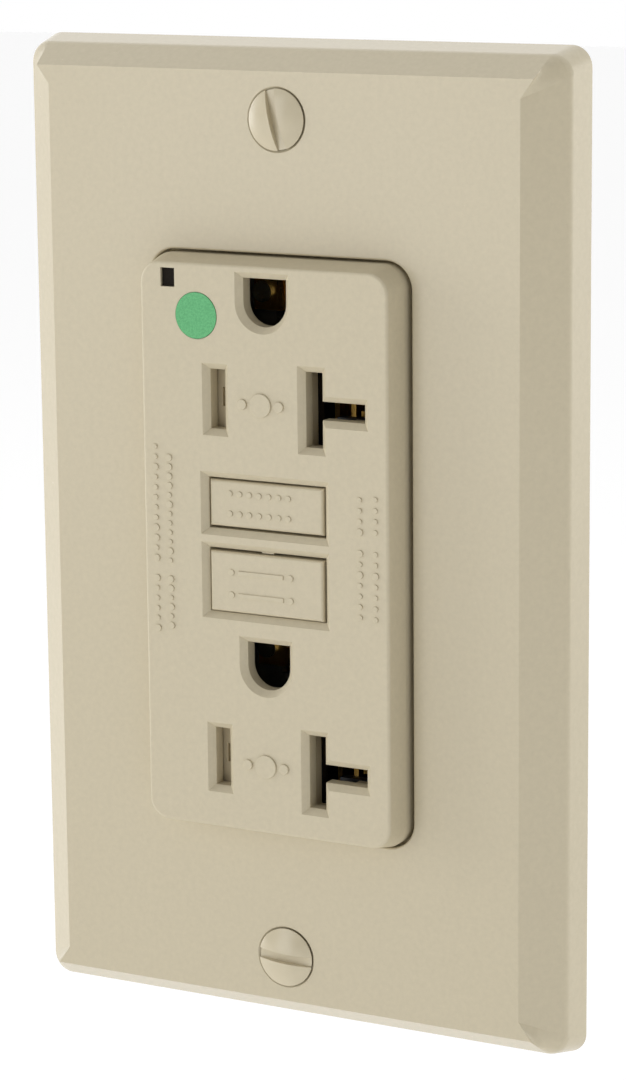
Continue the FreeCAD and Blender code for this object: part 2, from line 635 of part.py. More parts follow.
# ======================= middle housing ==================================
b = body("middle_housing")
bx2, bz2 = body_wid / 2, body_hgt / 2
pad(b, Sk(b, at=mid_y).rrect(-bx2, bx2, -bz2, bz2, 3.0), mid_y + 1.3)
pocket(b, Sk(b, at=-1.4).rect(-20.55, 20.55, -40.0, 40.0), 1.4)
pocket(b, Sk(b, at=0.0).rect(-19.9, 19.9, -32.3, 32.3), 5.65)
pocket(b, Sk(b, at=mid_y).rect(-19.9, 19.9, -32.3, 32.3), mid_y - 7.2, front=True)
bosses = Sk(b, at=7.25)
for sx in (-1, 1):
    for sz in (-1, 1):
        bosses.circle(asm_x * sx, asm_z * sz, 2.5)
pad(b, bosses, 7.25)
bosses = Sk(b, at=mid_y)
for sx in (-1, 1):
    for sz in (-1, 1):
        bosses.circle(asm_x * sx, asm_z * sz, 2.5)
pad(b, bosses, 1.9)
pad(b, Sk(b, at=5.7).circle(0.0, shaft_z, 3.5), 5.9)
pad(b, Sk(b, at=5.7).rect(-2.4, 2.4, 11.0, 12.6), 6.2)
holes = Sk(b, at=-1.4)
holes.circle(0.0, shaft_z, 1.6)
for sx in (-1, 1):
    for sz in (-1, 1):
        holes.circle(asm_x * sx, asm_z * sz, 1.6)
pocket(b, holes, 11.0)
win = Sk(b, at=5.5)
win.rect(-8.6, -4.4, 1.6, 3.0).rect(4.4, 8.6, 1.6, 3.0)
win.rect(-19.8, -18.0, 15.6, 20.8).rect(18.0, 19.8, 15.6, 20.8)
win.rect(-13.3, -10.9, 29.4, 31.6).rect(-1.3, 1.3, 3.6, 5.6)
pocket(b, win, 2.0)
keep(b, "middle_housing")

keep(box(-2.4, 2.4, -0.93, -0.55, 3.9, 12.3), "test_spring_blade")
keep(spring("Y", 0.0, 7.25, shaft_z, 2.5, 0.2, 5.2, 5), "opening_spring")

# ======================= latching mechanism ==============================
keep(cut(box(-8.5, 8.5, 12.5, 19.0, -9.5, -0.8), cyl("Y", 0.0, 12.0, shaft_z, 1.5, 8.0),
         box(-4.3, 4.3, 16.3, 17.5, -10.0, 0.0)), "lifter")
latch = fuse(box(-4.0, 4.0, 16.5, 17.3, -10.4, 0.7), box(-0.8, 0.8, 14.6, 17.3, -12.4, -11.8),
             box(-0.8, 0.8, 16.5, 17.3, -12.0, -10.3))
keep(cut(latch, cyl("Y", 0.0, 16.0, shaft_z, 0.95, 2.0), cyl("Y", 0.0, 16.0, shaft_z + 1.75, 1.45, 2.0),
         box(-0.95, 0.95, 16.0, 18.0, -3.7, -1.9)), "latch_plate")
keep(spring("Z", 0.0, 15.6, -11.75, 0.7, 0.12, 2.2, 4), "latch_spring")


def arm(side, stem):
    x0, x1 = (5.0, 8.0) if side > 0 else (-8.0, -5.0)
    keep(box(x0, x1, 11.9, 12.4, -13.7, 2.2), stem + "_contact_arm")
    keep(cyl("Y", 6.5 * side, 11.3, 0.9, 1.3, 0.59), stem + "_moving_contact")


arm(-1, "hot")
arm(1, "neutral")


def line_bus(side, label):
    def bx(x0, x1, y0, y1, z0, z1):
        return box(x0, x1, y0, y1, z0, z1) if side > 0 else box(-x1, -x0, y0, y1, z0, z1)
    keep(fuse(cut(bx(18.4, 19.4, 10.6, 22.5, -27.1, -15.9), cyl("X", -25.0, 17.5, -term_z, 2.15, 50.0)),
              bx(1.0, 18.9, 10.6, 11.6, -27.0, -24.75), bx(1.0, 2.2, 10.6, 18.2, -27.0, -24.75),
              bx(1.0, 2.2, 16.2, 18.2, -26.0, -12.7), bx(1.0, 8.0, 16.2, 17.2, -13.7, -12.7),
              bx(5.0, 8.0, 12.45, 17.2, -13.7, -12.7), bx(5.0, 8.0, 12.42, 13.4, -13.7, -11.3)), label)


line_bus(-1, "hot_line_bus")
line_bus(1, "neutral_line_bus")

# ======================= transformers ====================================


def toroid(z0, length, label):
    o = cut(cyl("Z", 0.0, 17.4, z0, 7.1, length), cyl("Z", 0.0, 17.4, z0 - 1.0, 3.4, length + 2.0))
    f = doc.addObject("Part::Fillet", uid("Soft"))
    f.Base = o
    doc.recompute()
    f.Edges = [(i + 1, 0.9, 0.9) for i, e in enumerate(o.Shape.Edges) if e.BoundBox.ZLength < 0.01]
    keep(f, label)


toroid(-24.0, 4.3, "sense_transformer")
toroid(-19.0, 4.3, "ground_fault_transformer")
cup = cut(cyl("Z", 0.0, 17.4, -24.1, 7.9, 10.3), cyl("Z", 0.0, 17.4, -24.3, 7.2, 9.8),
          cyl("Z", 0.0, 17.4, -15.0, 3.3, 3.0))
keep(cup, "transformer_cup")

# ======================= solenoid ========================================
cy = coil_y
bob = fuse(box(-6.0, 6.0, cy - 6.0, cy + 6.0, 4.6, 5.6), box(-6.0, 6.0, cy - 6.0, cy + 6.0, 20.8, 21.8),
           cyl("Z", 0.0, cy, 5.5, 3.0, 15.4))
keep(cut(bob, cyl("Z", 0.0, cy, 4.0, 2.35, 19.0)), "solenoid_bobbin")
keep(cut(cyl("Z", 0.0, cy, 5.65, 5.4, 15.1), cyl("Z", 0.0, cy, 5.0, 3.02, 17.0)), "solenoid_coil")
fr = fuse(box(-6.0, 6.0, cy - 5.8, cy + 7.2, 3.4, 4.5), box(-6.0, 6.0, cy + 6.1, cy + 7.2, 3.4, 23.0),
          box(-6.0, 6.0, cy - 5.8, cy + 7.2, 21.9, 23.0))
keep(cut(fr, cyl("Z", 0.0, cy, 3.0, 1.25, 2.0)), "solenoid_frame")
keep(fuse(cyl("Z", 0.0, cy, 6.2, 2.25, 12.0), cyl("Z", 0.0, cy, 0.78, 1.0, 5.6)), "solenoid_plunger")
keep(spring("Z", 0.0, cy, 18.25, 2.0, 0.3, 3.6, 3.5), "plunger_spring")

# ======================= circuit board ===================================
b = body("circuit_board")
pad(b, Sk(b, at=8.8).rrect(-13.6, 13.6, -12.0, 31.9, 0.8), 1.6, back=True)
pocket(b, Sk(b, at=8.7).rect(-9.2, 9.2, -9.2, 3.0).circle(-11.6, -10.2, 0.9).circle(11.6, -10.2, 0.9)
       .rect(-0.5, 0.5, 4.15, 5.05), 2.0)
keep(b, "circuit_board")
keep(fuse(box(-13.3, -10.9, 8.0, 8.78, 29.2, 31.6), box(-12.7, -11.5, 7.65, 8.1, 29.9, 31.1)), "status_led")
keep(box(7.2, 11.4, 10.42, 11.9, 5.0, 10.0), "controller_chip")
keep(cut(cyl("Y", 10.0, 10.42, 14.2, 2.4, 4.6), box(7.0, 13.0, 10.0, 16.0, 15.4, 18.0)), "trip_thyristor")
keep(fuse(cyl("X", -12.6, 15.4, 9.5, 4.2, 3.6), box(-12.0, -9.8, 10.42, 13.0, 7.5, 11.5)), "surge_varistor")
keep(cyl("Y", -10.0, 10.42, 18.6, 3.1, 8.2), "filter_capacitor")
keep(group(*[fuse(cyl("Z", x, 12.0, 24.7, 1.15, 4.2), box(x - 0.3, x + 0.3, 10.42, 12.0, 25.0, 25.6),
                  box(x - 0.3, x + 0.3, 10.42, 12.0, 28.0, 28.6)) for x in (-3.6, -0.6, 2.4, 5.4)]), "rectifier_diodes")
# the test resistor's free lead stands up through the board as the fixed test contact
keep(group(fuse(cyl("Z", 10.2, 12.4, 19.2, 1.3, 6.4), box(9.9, 10.5, 10.42, 12.4, 19.4, 20.0),
                box(9.9, 10.5, 10.42, 12.4, 24.8, 25.4)),
           fuse(box(-0.8, 0.8, 1.45, 8.78, 4.0, 5.2), box(-0.45, 0.45, 8.7, 10.6, 4.2, 5.0))), "test_resistor")

# ======================= rear housing ====================================
b = body("rear_housing")
rx, rz = body_wid / 2 - 0.3, body_hgt / 2 - 0.3
pad(b, Sk(b, at=back_y).rrect(-rx, rx, -rz, rz, 3.0), back_y - mid_y)
dress(b, "Fillet", 1.0, lambda e, bb: flat_y(bb, 27.0))
cav = [(-19.7, -14.2), (-14.0, -14.2), (-14.0, -28.8), (-15.8, -28.8), (-15.8, -32.1),
       (15.8, -32.1), (15.8, -28.8), (14.0, -28.8), (14.0, -14.2), (19.7, -14.2),
       (19.7, 14.2), (14.0, 14.2), (14.0, 28.8), (15.8, 28.8), (15.8, 32.1),
       (-15.8, 32.1), (-15.8, 28.8), (-14.0, 28.8), (-14.0, 14.2), (-19.7, 14.2)]
pocket(b, Sk(b, at=mid_y).poly(cav), 16.5)
for sx in (-1, 1):
    for sz in (-1, 1):
        zt = term_z * sz
        xs = (15.2, 23.0) if sx > 0 else (-23.0, -15.2)
        pocket(b, Sk(b, at=mid_y).rect(xs[0], xs[1], zt - 6.0, zt + 6.0), 14.5)
        ws = (16.1, 19.5) if sx > 0 else (-19.5, -16.1)
        wires = Sk(b, at=23.4)
        wires.rect(ws[0], ws[1], zt - 5.3, zt - 1.9).rect(ws[0], ws[1], zt + 1.9, zt + 5.3)
        pocket(b, wires, 4.0)
for sx in (-1, 1):
    xs = (13.8, 15.4) if sx > 0 else (-15.4, -13.8)
    pocket(b, Sk(b, at=mid_y).rect(xs[0], xs[1], -27.3, -24.4), 2.9)
holes = Sk(b, at=mid_y)
bores = Sk(b, at=back_y + 0.2)
for sx in (-1, 1):
    for sz in (-1, 1):
        holes.circle(asm_x * sx, asm_z * sz, 1.6)
        bores.circle(asm_x * sx, asm_z * sz, 2.75)
pocket(b, holes, 20.0)
pocket(b, bores, 2.4, front=True)
keep(b, "rear_housing")


def asm_screw(x, z):
    hd = cyl("Y", x, 24.82, z, 2.55, 1.7)
    hd = cut(hd, box(x - 1.9, x + 1.9, 25.7, 27.5, z - 0.35, z + 0.35), box(x - 0.35, x + 0.35, 25.7, 27.5, z - 1.9, z + 1.9))
    return fuse(hd, cyl("Y", x, -3.2, z, 1.35, 28.1), cone("Y", x, -3.8, z, 0.8, 1.35, 0.6))


keep(group(*[asm_screw(asm_x * sx, asm_z * sz) for sx in (-1, 1) for sz in (-1, 1)]), "assembly_screws")


def terminal_screw(side, z, label):
    if side > 0:
        o = fuse(cyl("X", 19.5, 17.5, z, 4.5, 2.2), cyl("X", 15.35, 17.5, z, 2.05, 4.3))
        o = cut(o, box(20.8, 22.5, 16.9, 18.1, z - 6.0, z + 6.0))
    else:
        o = fuse(cyl("X", -21.7, 17.5, z, 4.5, 2.2), cyl("X", -19.65, 17.5, z, 2.05, 4.3))
        o = cut(o, box(-22.5, -20.8, 16.9, 18.1, z - 6.0, z + 6.0))
    keep(o, label)


terminal_screw(-1, term_z, "hot_load_screw")
terminal_screw(-1, -term_z, "hot_line_screw")
terminal_screw(1, term_z, "neutral_load_screw")
terminal_screw(1, -term_z, "neutral_line_screw")


def clamp(side, z):
    x0, x1 = (15.6, 17.1) if side > 0 else (-17.1, -15.6)
    return cut(box(x0, x1, 12.7, 22.6, z - 5.2, z + 5.2), cyl("X", -25.0, 17.5, z, 2.12, 50.0))


keep(group(*[clamp(sx, term_z * sz) for sx in (-1, 1) for sz in (-1, 1)]), "wire_clamp_plates")

# ======================= checks and output ===============================
doc.recompute()
bad = []
for o in doc.Objects:
    if "Invalid" in o.State or "Error" in o.State:
        bad.append("%s %s" % (o.Name, o.State))
for o in NODES:
    s = o.Shape
    if s.isNull() or not s.isValid() or not s.Solids:
        bad.append("%s has no valid shape" % o.Label)
if bad:
    raise RuntimeError("; ".join(bad))
for o in NODES:
    o.Shape.exportStep("parts/%s.step" % o.Label)
print("%d nodes" % len(NODES))
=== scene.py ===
import bpy
import bmesh
import math
import random
from mathutils import Matrix, Vector


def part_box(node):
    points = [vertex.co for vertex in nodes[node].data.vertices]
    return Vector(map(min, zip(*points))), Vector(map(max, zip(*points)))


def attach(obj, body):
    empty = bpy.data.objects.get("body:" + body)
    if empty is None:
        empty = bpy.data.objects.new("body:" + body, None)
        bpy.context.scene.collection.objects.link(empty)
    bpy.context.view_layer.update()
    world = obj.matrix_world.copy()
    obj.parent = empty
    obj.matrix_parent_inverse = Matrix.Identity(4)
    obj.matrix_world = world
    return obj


MM = 0.001
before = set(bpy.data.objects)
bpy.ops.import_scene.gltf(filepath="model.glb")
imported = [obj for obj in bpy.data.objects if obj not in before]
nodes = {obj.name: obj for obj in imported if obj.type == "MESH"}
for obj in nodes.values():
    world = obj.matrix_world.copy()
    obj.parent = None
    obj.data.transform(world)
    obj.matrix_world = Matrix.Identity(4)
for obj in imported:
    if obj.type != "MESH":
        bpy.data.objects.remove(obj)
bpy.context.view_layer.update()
scene = bpy.context.scene


# ---------------------------------------------------------------- materials
def new_mat(name):
    m = bpy.data.materials.new(name)
    m.use_nodes = True
    nt = m.node_tree
    bsdf = nt.nodes["Principled BSDF"]
    return m, nt, bsdf


def node(nt, kind, **vals):
    n = nt.nodes.new(kind)
    for k, v in vals.items():
        if k in n.inputs:
            n.inputs[k].default_value = v
        else:
            setattr(n, k, v)
    return n


def coords(nt, scale=(1, 1, 1)):
    tc = nt.nodes.new("ShaderNodeTexCoord")
    mp = nt.nodes.new("ShaderNodeMapping")
    mp.inputs["Scale"].default_value = scale
    nt.links.new(tc.outputs["Object"], mp.inputs["Vector"])
    return mp.outputs["Vector"]


def noise(nt, vec, scale, detail=4.0, rough=0.55, distortion=0.0):
    n = nt.nodes.new("ShaderNodeTexNoise")
    n.inputs["Scale"].default_value = scale
    n.inputs["Detail"].default_value = detail
    n.inputs["Roughness"].default_value = rough
    n.inputs["Distortion"].default_value = distortion
    nt.links.new(vec, n.inputs["Vector"])
    return n.outputs["Fac"]


def ramp(nt, fac, stops):
    r = nt.nodes.new("ShaderNodeValToRGB")
    el = r.color_ramp.elements
    while len(el) < len(stops):
        el.new(0.5)
    for e, (p, c) in zip(el, stops):
        e.position = p
        e.color = (c[0], c[1], c[2], 1.0)
    nt.links.new(fac, r.inputs["Fac"])
    return r.outputs["Color"]


def maprange(nt, fac, a, b, lo=0.0, hi=1.0):
    m = nt.nodes.new("ShaderNodeMapRange")
    m.inputs["From Min"].default_value = lo
    m.inputs["From Max"].default_value = hi
    m.inputs["To Min"].default_value = a
    m.inputs["To Max"].default_value = b
    nt.links.new(fac, m.inputs["Value"])
    return m.outputs["Result"]


def bump(nt, height, strength, distance, normal=None):
    b = nt.nodes.new("ShaderNodeBump")
    b.inputs["Strength"].default_value = strength
    b.inputs["Distance"].default_value = distance
    nt.links.new(height, b.inputs["Height"])
    if normal is not None:
        nt.links.new(normal, b.inputs["Normal"])
    return b.outputs["Normal"]


def srgb(r, g, b):
    def f(c):
        c = c / 255.0
        return c / 12.92 if c <= 0.04045 else ((c + 0.055) / 1.055) ** 2.4
    return (f(r), f(g), f(b))


def scaled(c, k):
    return tuple(min(1.0, x * k) for x in c)


def plastic(name, col, rough=0.4, spread=0.04, grain_scale=3500.0, grain=0.15, wave=0.05, spec=0.5,
            rough_var=0.05, mottle=220.0, coat=0.0):
    """Moulded thermoplastic: a faint cloud in the colour, a fine spark-eroded grain and a slow flow ripple."""
    m, nt, b = new_mat(name)
    v = coords(nt)
    cloud = noise(nt, v, mottle, 5.0, 0.6)
    nt.links.new(ramp(nt, cloud, [(0.30, scaled(col, 1.0 - spread)), (0.72, scaled(col, 1.0 + spread * 0.6))]),
                 b.inputs["Base Color"])
    rv = noise(nt, v, mottle * 2.3, 3.0)
    nt.links.new(maprange(nt, rv, rough - rough_var, rough + rough_var), b.inputs["Roughness"])
    fine = noise(nt, v, grain_scale, 3.0, 0.65)
    slow = noise(nt, v, 130.0, 2.0, 0.5)
    n1 = bump(nt, slow, wave, 0.0004)
    nt.links.new(bump(nt, fine, grain, 0.00005, n1), b.inputs["Normal"])
    b.inputs["Specular IOR Level"].default_value = spec
    if coat:
        b.inputs["Coat Weight"].default_value = coat
        b.inputs["Coat Roughness"].default_value = 0.12
    return m


def metal(name, col, rough=0.3, spread=0.12, brush=None, grain=0.12, stain=None):
    """Sheet or turned metal with rolling marks along one axis and a little tarnish."""
    m, nt, b = new_mat(name)
    v = coords(nt, brush or (1, 1, 1))
    base = coords(nt)
    cloud = noise(nt, base, 300.0, 6.0, 0.65)
    dark = stain or scaled(col, 1.0 - 2.0 * spread)
    nt.links.new(ramp(nt, cloud, [(0.25, dark), (0.5, col), (0.8, scaled(col, 1.0 + spread))]),
                 b.inputs["Base Color"])
    line = noise(nt, v, 1800.0, 4.0, 0.6)
    nt.links.new(maprange(nt, line, rough - 0.08, rough + 0.12), b.inputs["Roughness"])
    nt.links.new(bump(nt, line, grain, 0.00003), b.inputs["Normal"])
    b.inputs["Metallic"].default_value = 1.0
    return m


IVORY = srgb(200, 189, 162)
M = {}
M["plate"] = plastic("ivory_plate", IVORY, rough=0.27, spread=0.04, grain_scale=2600.0, grain=0.035, wave=0.02,
                     rough_var=0.008, mottle=1500.0)
M["face"] = plastic("ivory_face", IVORY, rough=0.42, spread=0.045, grain_scale=4200.0, grain=0.22, wave=0.02,
                    rough_var=0.015, mottle=1500.0)
M["shutter"] = plastic("ivory_shutter", srgb(186, 172, 142), rough=0.5, grain=0.2)
M["guide"] = plastic("guide_black", srgb(20, 20, 23), rough=0.45, spread=0.2, grain=0.2, spec=0.3)
M["dark_lens"] = plastic("smoked_lens", srgb(26, 20, 14), rough=0.62, spread=0.35, grain=0.3, spec=0.12, mottle=1500.0)
M["middle"] = plastic("housing_charcoal", srgb(42, 43, 47), rough=0.5, spread=0.12, grain_scale=3000.0, grain=0.35)
M["housing"] = plastic("housing_grey", srgb(176, 172, 160), rough=0.52, spread=0.05, grain_scale=3000.0, grain=0.35)
M["black"] = plastic("housing_dark", srgb(38, 38, 40), rough=0.5, spread=0.15, grain=0.3)
M["nylon"] = plastic("white_nylon", srgb(226, 224, 214), rough=0.45, grain=0.15)
M["chip"] = plastic("chip_black", srgb(28, 28, 30), rough=0.55, spread=0.2, grain=0.4)
M["varistor"] = plastic("varistor_blue", srgb(36, 66, 128), rough=0.35, spread=0.12, grain=0.3)
M["resistor"] = plastic("resistor_tan", srgb(196, 170, 128), rough=0.4, spread=0.1, grain=0.3)
M["fibre"] = plastic("fibre_washer", srgb(150, 126, 92), rough=0.8, spread=0.25, grain_scale=1500.0, grain=0.6)
M["zinc"] = metal("zinc_steel", srgb(196, 197, 194), rough=0.34, brush=(1.0, 1.0, 0.06))
M["spring"] = metal("spring_steel", srgb(166, 166, 168), rough=0.26, brush=(1, 1, 1))
M["brass"] = metal("brass_strip", srgb(206, 166, 88), rough=0.28, brush=(1.0, 1.0, 0.08))
M["bronze"] = metal("bronze_strip", srgb(196, 132, 84), rough=0.3, brush=(1.0, 1.0, 0.08))
M["silver"] = metal("silver_metal", srgb(214, 214, 210), rough=0.22)
M["nickel"] = metal("nickel_screw", srgb(198, 196, 186), rough=0.25)
M["copper"] = metal("copper_coil", srgb(176, 92, 50), rough=0.24, spread=0.15)


def painted_screw():
    """Ivory enamel on a steel head, with a faint cloud in its colour."""
    m, nt, b = new_mat("painted_screw")
    v = coords(nt)
    cloud = noise(nt, v, 400.0, 4.0)
    col = ramp(nt, cloud, [(0.3, scaled(IVORY, 0.98)), (0.7, scaled(IVORY, 1.04))])
    nt.links.new(col, b.inputs["Base Color"])
    fine = noise(nt, v, 1500.0, 3.0)
    nt.links.new(maprange(nt, fine, 0.16, 0.30), b.inputs["Roughness"])
    nt.links.new(bump(nt, fine, 0.06, 0.00006), b.inputs["Normal"])
    return m


def green_paint():
    m, nt, b = new_mat("green_mark")
    v = coords(nt)
    speck = noise(nt, v, 5200.0, 3.0, 0.7)
    nt.links.new(ramp(nt, speck, [(0.35, srgb(74, 160, 98)), (0.62, srgb(96, 182, 118))]), b.inputs["Base Color"])
    nt.links.new(maprange(nt, speck, 0.38, 0.5), b.inputs["Roughness"])
    nt.links.new(bump(nt, speck, 0.15, 0.00004), b.inputs["Normal"])
    return m


def green_screw():
    m, nt, b = new_mat("green_screw")
    v = coords(nt)
    n = noise(nt, v, 500.0, 5.0)
    nt.links.new(ramp(nt, n, [(0.3, srgb(22, 92, 52)), (0.75, srgb(40, 124, 72))]), b.inputs["Base Color"])
    nt.links.new(maprange(nt, n, 0.2, 0.34), b.inputs["Roughness"])
    nt.links.new(bump(nt, n, 0.1, 0.00006), b.inputs["Normal"])
    b.inputs["Metallic"].default_value = 0.6
    return m


def winding(name, axis, pitch, col):
    """Enamelled copper wire, turn beside turn, with painted shade darkening the grooves between the turns."""
    m, nt, b = new_mat(name)
    v = coords(nt)
    w = nt.nodes.new("ShaderNodeTexWave")
    w.bands_direction = axis
    w.wave_profile = "SIN"
    w.inputs["Scale"].default_value = 1.0 / pitch / 3.1416
    w.inputs["Distortion"].default_value = 0.6
    nt.links.new(v, w.inputs["Vector"])
    # painted shade: the wire colour falls to about a third in the grooves between turns, where the bump sinks
    nt.links.new(ramp(nt, w.outputs["Fac"], [(0.15, scaled(col, 0.35)), (0.6, col)]), b.inputs["Base Color"])
    nt.links.new(bump(nt, w.outputs["Fac"], 0.8, pitch * 0.4), b.inputs["Normal"])
    b.inputs["Metallic"].default_value = 1.0
    b.inputs["Roughness"].default_value = 0.3
    return m


def board():
    """Green solder mask over copper tracks."""
    m, nt, b = new_mat("board_green")
    v = coords(nt)
    br = nt.nodes.new("ShaderNodeTexBrick")
    br.inputs["Scale"].default_value = 240.0
    br.inputs["Mortar Size"].default_value = 0.03
    br.inputs["Color1"].default_value = (*srgb(24, 92, 52), 1)
    br.inputs["Color2"].default_value = (*srgb(20, 82, 46), 1)
    br.inputs["Mortar"].default_value = (*srgb(60, 128, 70), 1)
    mp = nt.nodes.new("ShaderNodeMapping")
    mp.inputs["Rotation"].default_value = (math.radians(90), 0, 0)
    nt.links.new(v, mp.inputs["Vector"])
    nt.links.new(mp.outputs["Vector"], br.inputs["Vector"])
    nt.links.new(br.outputs["Color"], b.inputs["Base Color"])
    nt.links.new(bump(nt, br.outputs["Fac"], 0.3, 0.00004), b.inputs["Normal"])
    b.inputs["Roughness"].default_value = 0.32
    return m


def clear_pipe():
    m, nt, b = new_mat("clear_pipe")
    v = coords(nt)
    n = noise(nt, v, 600.0, 3.0)
    nt.links.new(ramp(nt, n, [(0.3, (0.86, 0.86, 0.84)), (0.7, (0.93, 0.93, 0.92))]), b.inputs["Base Color"])
    b.inputs["Transmission Weight"].default_value = 0.9
    b.inputs["Roughness"].default_value = 0.12
    b.inputs["IOR"].default_value = 1.49
    return m


M["painted"] = painted_screw()
M["green"] = green_paint()
M["green_screw"] = green_screw()
M["coil"] = winding("coil_winding", "Z", 0.00022, srgb(184, 96, 54))
M["toroid"] = winding("toroid_winding", "X", 0.00035, srgb(176, 92, 50))
M["board"] = board()
M["pipe"] = clear_pipe()

USE = {
    "wallplate": "plate", "wallplate_screws": "painted", "front_cover": "face", "indicator_window": "dark_lens",
    "light_pipe": "pipe", "green_dot": "green", "test_button": "face", "reset_button": "face",
    "reset_shaft": "spring", "reset_spring": "spring", "mounting_strap": "zinc", "box_screws": "nickel",
    "screw_retainers": "fibre", "ground_contacts": "brass", "ground_rivets": "silver", "ground_screw": "green_screw",
    "upper_shutter_guide": "guide", "upper_shutter": "shutter", "upper_shutter_spring": "spring",
    "lower_shutter_guide": "guide", "lower_shutter": "shutter", "lower_shutter_spring": "spring",
    "hot_load_contact": "brass", "neutral_load_contact": "brass", "fixed_silver_contacts": "silver",
    "middle_housing": "middle", "test_spring_blade": "bronze", "opening_spring": "spring", "lifter": "black",
    "latch_plate": "spring", "latch_spring": "spring", "hot_contact_arm": "bronze", "hot_moving_contact": "silver",
    "neutral_contact_arm": "bronze", "neutral_moving_contact": "silver", "hot_line_bus": "brass",
    "neutral_line_bus": "brass", "sense_transformer": "toroid", "ground_fault_transformer": "toroid",
    "transformer_cup": "black", "solenoid_bobbin": "nylon", "solenoid_coil": "coil", "solenoid_frame": "zinc",
    "solenoid_plunger": "spring", "plunger_spring": "spring", "circuit_board": "board", "status_led": "nylon",
    "controller_chip": "chip", "trip_thyristor": "chip", "surge_varistor": "varistor", "filter_capacitor": "chip",
    "rectifier_diodes": "chip", "test_resistor": "resistor", "rear_housing": "housing", "assembly_screws": "nickel",
    "hot_load_screw": "brass", "hot_line_screw": "brass", "neutral_load_screw": "nickel",
    "neutral_line_screw": "nickel", "wire_clamp_plates": "brass",
}
for name, o in nodes.items():
    mat = M[USE[name]]
    if not o.data.materials:
        o.data.materials.append(mat)
    for i in range(len(o.data.materials)):
        o.data.materials[i] = mat


# ---------------------------------------------------------------- raised marks
FACE_Y = -11.24 * MM


def ring(cx, cz, r, a0=0.0, a1=360.0, n=28):
    """Points on a circle, anticlockwise seen from the front."""
    full = abs(a1 - a0) >= 360.0
    k = n if full else n + 1
    return [(cx + r * math.cos(math.radians(a0 + (a1 - a0) * i / n)),
             cz + r * math.sin(math.radians(a0 + (a1 - a0) * i / n))) for i in range(k)]


def stroke(points, w, closed=False):
    """Outline polygons of a line of width w through the points: [outer] or [outer, inner]."""
    n = len(points)
    left, right = [], []
    for i in range(n):
        p = Vector(points[i])
        if closed:
            a, b = Vector(points[i - 1]), Vector(points[(i + 1) % n])
        else:
            a = Vector(points[i - 1]) if i else None
            b = Vector(points[i + 1]) if i < n - 1 else None
        d1 = (p - a).normalized() if a is not None else None
        d2 = (b - p).normalized() if b is not None else None
        d1 = d1 or d2
        d2 = d2 or d1
        n1, n2 = Vector((-d1.y, d1.x)), Vector((-d2.y, d2.x))
        m = (n1 + n2)
        m = m.normalized() / max(0.5, m.normalized().dot(n1)) if m.length > 1e-6 else n1
        left.append(tuple(p + m * w / 2))
        right.append(tuple(p - m * w / 2))
    if closed:
        return [left, right]
    return [left + right[::-1]]


def raised(name, loops, height, body, mat, base_y, round_by=0.05, sink=0.08):
    """Flat-topped moulded marks: closed outlines in mm (x, z), standing out of base_y (m) towards the front."""
    cu = bpy.data.curves.new(name, "CURVE")
    cu.dimensions = "2D"
    cu.fill_mode = "BOTH"
    for lp in loops:
        sp = cu.splines.new("POLY")
        sp.points.add(len(lp) - 1)
        for p, q in zip(sp.points, lp):
            p.co = (q[0] * MM, q[1] * MM, 0.0, 1.0)
        sp.use_cyclic_u = True
    total = (height + sink) * MM
    cu.extrude = total / 2 - round_by * MM
    cu.bevel_depth = round_by * MM
    cu.bevel_resolution = 2
    cu.offset = -round_by * MM
    tmp = bpy.data.objects.new(name + "_curve", cu)
    scene.collection.objects.link(tmp)
    dg = bpy.context.evaluated_depsgraph_get()
    me = bpy.data.meshes.new_from_object(tmp.evaluated_get(dg))
    bpy.data.objects.remove(tmp)
    me.name = name
    bm = bmesh.new()
    bm.from_mesh(me)
    bmesh.ops.remove_doubles(bm, verts=bm.verts, dist=1e-7)
    bmesh.ops.recalc_face_normals(bm, faces=bm.faces)
    bm.to_mesh(me)
    bm.free()
    # curve (x, y, z) to (X, Z, -Y)
    mid = base_y - (height - sink) / 2 * MM
    me.transform(Matrix(((1, 0, 0, 0), (0, 0, -1, mid), (0, 1, 0, 0), (0, 0, 0, 1))))
    o = bpy.data.objects.new(name, me)
    scene.collection.objects.link(o)
    me.materials.clear()
    me.materials.append(mat)
    for p in me.polygons:
        p.use_smooth = False
    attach(o, body)
    return o


def flip(loops, cx, cz):
    """The same marks turned half round about (cx, cz)."""
    return [[(2 * cx - x, 2 * cz - z) for x, z in lp] for lp in loops]


def shift(loops, dx, dz):
    return [[(x + dx, z + dz) for x, z in lp] for lp in loops]


# plain ornament between the blade slots: one large round boss between two small ones
def emblem():
    return [ring(0.0, 0.0, 1.35, n=36), ring(-2.35, 0.0, 0.6, n=24), ring(2.35, 0.0, 0.6, n=24)]


# ---------------------------------------------------------------- ornaments on the two buttons
def sign_test():
    """A row of seven round bosses."""
    return [ring(1.25 * k, 0.0, 0.34, n=20) for k in range(-3, 4)]


def sign_reset():
    """One long level bar with a round boss at each end."""
    return stroke([(-2.9, 0.0), (2.9, 0.0)], 0.5) + [ring(-3.8, 0.0, 0.38, n=20), ring(3.8, 0.0, 0.38, n=20)]


def ticks(z_from, z_to, x_mid, groups, seed, width=1.2):
    """A dotted line of small round bosses along Z, in groups; a few are a little larger."""
    rnd = random.Random(seed)
    loops = []
    step = -1 if z_to < z_from else 1
    total = sum(groups) + len(groups) - 1
    pitch = abs(z_to - z_from) / total
    z = z_from + step * pitch / 2
    for g in groups:
        for _ in range(g):
            loops += [ring(x_mid, z, width * (0.34 if rnd.random() < 0.3 else 0.25), n=16)]
            z += step * pitch
        z += step * pitch
    return loops


